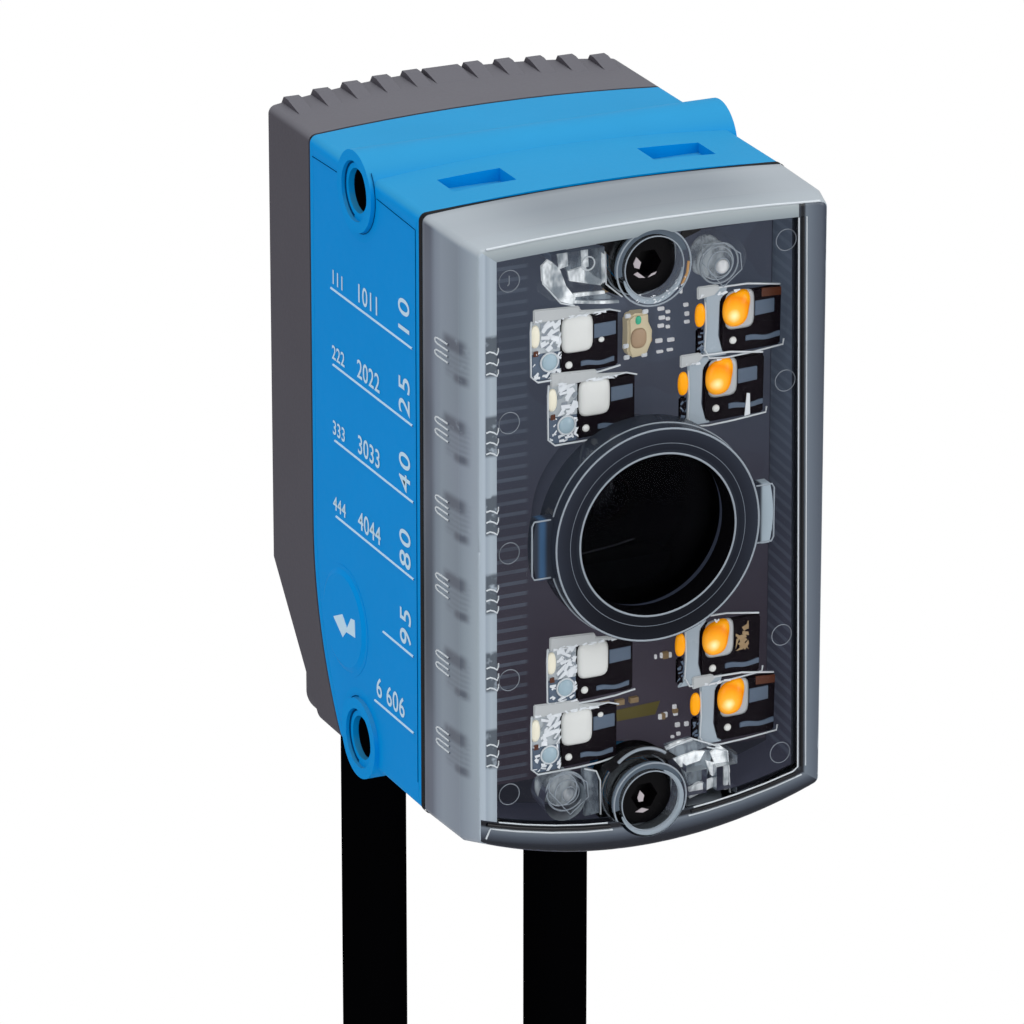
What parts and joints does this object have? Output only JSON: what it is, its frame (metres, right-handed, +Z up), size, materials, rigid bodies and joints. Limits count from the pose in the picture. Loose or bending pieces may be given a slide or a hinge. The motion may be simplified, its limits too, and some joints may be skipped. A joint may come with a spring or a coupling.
{
  "type": "machine vision camera",
  "caption": "Compact machine vision camera with a clear lighting hood, a finned rear cover, a function button and a swivel cable unit.",
  "frame": {"origin": "midway between the two threaded bosses of the left side, on their mounting face", "axes": "+Z up; the camera looks along -Y; +X runs across the width, from the left mounting face to the right one"},
  "size_m": [0.044, 0.0582, 0.3136],
  "materials": {
    "blue_paint": "satin powder coat, light blue",
    "label_foil": "smooth blue foil with white scale marks",
    "button_foil": "smooth blue foil with a white arrow",
    "grey_paint": "satin dark grey powder coat",
    "seal_rubber": "matt black",
    "clear_hood": "clear, faintly smoked, polished",
    "clear_lenses": "clear, polished",
    "window_glass": "polished, coated",
    "black_plastic": "matt black",
    "black_aluminium": "black anodised",
    "board": "black solder mask",
    "sensor_face": "glass-topped dark package",
    "white_led": "milky white",
    "amber_led": "amber",
    "aiming_led": "beige package with a green dot",
    "small_parts": "tan and black chips",
    "black_steel": "black oxide",
    "spacer_brass": "plain",
    "heat_pad": "soft grey",
    "spring_steel": "plain",
    "cable_jacket": "smooth matt black",
    "plug_body": "ribbed black",
    "plated_nut": "nickel plated, knurled",
    "gold_contact": "gold plated"
  },
  "bodies": {
    "camera": {"aiming_led": "aiming_led", "amber_leds": "amber_led", "board_connector": "black_plastic", "board_parts": "small_parts", "board_spacers": "spacer_brass", "button_switch": "black_plastic", "cover_screws": "black_steel", "front_hood": "clear_hood", "front_lens": "window_glass", "front_seal": "seal_rubber", "heat_pad": "heat_pad", "hood_screws": "black_steel", "illumination_board": "board", "image_sensor": "sensor_face", "led_lenses": "clear_lenses", "lens_barrel": "black_aluminium", "lens_holder": "black_aluminium", "lens_tube": "black_plastic", "main_board": "board", "main_housing": "blue_paint", "optical_window": "window_glass", "processor": "black_plastic", "rear_cover": "grey_paint", "rear_seal": "seal_rubber", "sensor_board": "board", "side_panel": "label_foil", "status_leds": "white_led", "white_leds": "white_led", "window_ring": "clear_hood"},
    "button": {"function_button": "button_foil"},
    "swivel": {"swivel_housing": "grey_paint", "swivel_clip": "spring_steel", "cable_grommets": "seal_rubber", "network_cable": "cable_jacket", "power_cable": "cable_jacket", "network_plug": "plug_body", "power_plug": "plug_body", "power_contacts": "gold_contact"},
    "network_ring": {"network_coupling": "plated_nut"},
    "power_ring": {"power_coupling": "plated_nut"}
  },
  "joints": [
    {"name": "button_press", "type": "slide", "parent": "camera", "child": "button", "axis": [1, 0, 0], "range_m": [0, 0.0004], "stiffness_N_per_m": 3000},
    {"name": "swivel_turn", "type": "hinge", "parent": "camera", "child": "swivel", "pos_m": [0.022, 0.01719, -0.02829], "axis": [0, 0.766, -0.6428], "range_deg": [0, 180]},
    {"name": "network_nut_turn", "type": "hinge", "parent": "swivel", "child": "network_ring", "pos_m": [0.0105, 0.01999, -0.264], "axis": [0, 0, -1], "continuous": true},
    {"name": "power_ring_turn", "type": "hinge", "parent": "swivel", "child": "power_ring", "pos_m": [0.0335, 0.01999, -0.264], "axis": [0, 0, -1], "continuous": true}
  ]
}
